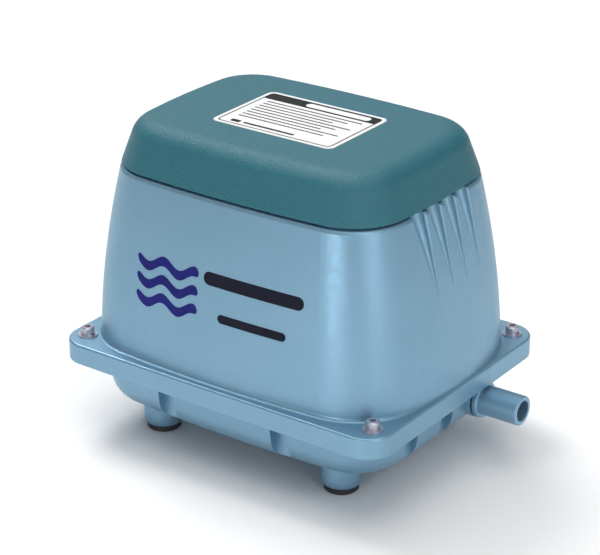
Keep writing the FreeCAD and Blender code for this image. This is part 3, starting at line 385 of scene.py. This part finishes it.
def front_print(name, strips, material):
    """Strips of ink laid on the housing's front wall; strips are lists of (x, low z, high z)."""
    wall = BVHTree.FromObject(NODES["upper_housing"], bpy.context.evaluated_depsgraph_get())

    def on_wall(x, z, lift):
        hit = wall.ray_cast(Vector((CENTRE.x + x, HOUSING_LOW.y - RAY_START, z)), Vector((0, 1, 0)))[0]
        return hit - Vector((0, lift, 0))

    verts, faces = [], []
    for strip in strips:
        first = len(verts)
        for x, low, high in strip:
            section = ((low, INK), (high, INK), (high, -INK), (low, -INK))
            verts += [on_wall(x, z, lift) for z, lift in section]
        for i in range(len(strip) - 1):
            a = first + 4 * i
            faces += [(a + k, a + 4 + k, a + 4 + (k + 1) % 4, a + (k + 1) % 4) for k in range(4)]
        last = len(verts) - 4
        faces += [(first, first + 1, first + 2, first + 3), (last + 3, last + 2, last + 1, last)]
    new_piece(name, verts, faces, material, "housing")


def wave(height):
    return lambda x: height + WAVE_SWING * math.sin(x * WAVE_TURN)


def straight(height):
    return lambda x: height


def add_front_prints(materials):
    """A generic water mark of three wave bands, with two plain bars beside it."""
    waves = []
    for row in range(WAVE_COUNT):
        centre = wave(WAVE_HEIGHT + row * WAVE_PITCH)
        waves.append(strip_columns(WAVE_START, WAVE_END, centre, WAVE_HALF, WAVE_COLUMNS))
    front_print("wave_mark", waves, materials["ink_blue"])
    bars = []
    for start, end, height, half, columns in FRONT_BARS:
        bars.append(strip_columns(start, end, straight(height), half, columns))
    front_print("front_bars", bars, materials["ink_navy"])


def rounded_rectangle(half_x, half_y, corner):
    points = []
    for quarter, (sx, sy) in enumerate(((1, 1), (-1, 1), (-1, -1), (1, -1))):
        for i in range(CORNER_STEPS + 1):
            angle = math.pi / 2 * (quarter + i / CORNER_STEPS)
            points.append((sx * (half_x - corner) + corner * math.cos(angle),
                           sy * (half_y - corner) + corner * math.sin(angle)))
    return points


def label_plates(plates, material, name, level=0.0):
    """Flat closed plates of ink on the cover's label: (centre x, centre y, outline) each."""
    low, high = LABEL_HIGH.z - INK / 2 + level, LABEL_HIGH.z + INK / 2 + level
    middle = (LABEL_LOW + LABEL_HIGH) / 2
    verts, faces = [], []
    for x, y, outline in plates:
        first, count = len(verts), len(outline)
        for z in (low, high):
            verts += [(middle.x + x + px, middle.y + y + py, z) for px, py in outline]
        faces.append(tuple(range(first + count - 1, first - 1, -1)))
        faces.append(tuple(range(first + count, first + 2 * count)))
        for i in range(count):
            j = (i + 1) % count
            faces.append((first + i, first + j, first + count + j, first + count + i))
    new_piece(name, verts, faces, material, "cover")


def frame_plates(half_x, half_y, corner, width):
    """A thin border as one ring of small plates."""
    outer = rounded_rectangle(half_x, half_y, corner)
    inner = rounded_rectangle(half_x - width, half_y - width, corner - width)
    plates = []
    for i in range(len(outer)):
        j = (i + 1) % len(outer)
        plates.append((0, 0, (inner[i], outer[i], outer[j], inner[j])))
    return plates


def add_label_prints(materials):
    """A border, a header band and plain bars that stand for lines of small print."""
    plates = frame_plates(BORDER_HALF_X, BORDER_HALF_Y, BORDER_CORNER, BORDER_WIDTH)
    plates.append((0, HEADER_Y, rounded_rectangle(*HEADER)))
    for row in range(LINE_COUNT):
        reach = LINE_REACH - LINE_STEP * (row % LINE_LENGTHS)
        line = rounded_rectangle(reach, LINE_HALF, LINE_CORNER)
        plates.append((-LINE_REACH + reach, LINE_Y - row * LINE_PITCH, line))
    plates.append((FOOTER_BLOCK_X, FOOTER_Y, rounded_rectangle(*FOOTER_BLOCK)))
    plates.append((FOOTER_BAR_X, FOOTER_Y, rounded_rectangle(*FOOTER_BAR)))
    label_plates(plates, materials["ink_black"], "label_print")
    pill = [(PILL_X, HEADER_Y, rounded_rectangle(*PILL))]
    label_plates(pill, materials["label_film"], "label_pill", INK / 4)


# ------------------------------------------------------------------ scene
add_camera()
add_world()
for lamp_name, setting in SOFT_BOXES.items():
    area_light(lamp_name, *setting)
add_floor()
materials = make_materials()
paint_nodes(materials)
add_front_prints(materials)
add_label_prints(materials)
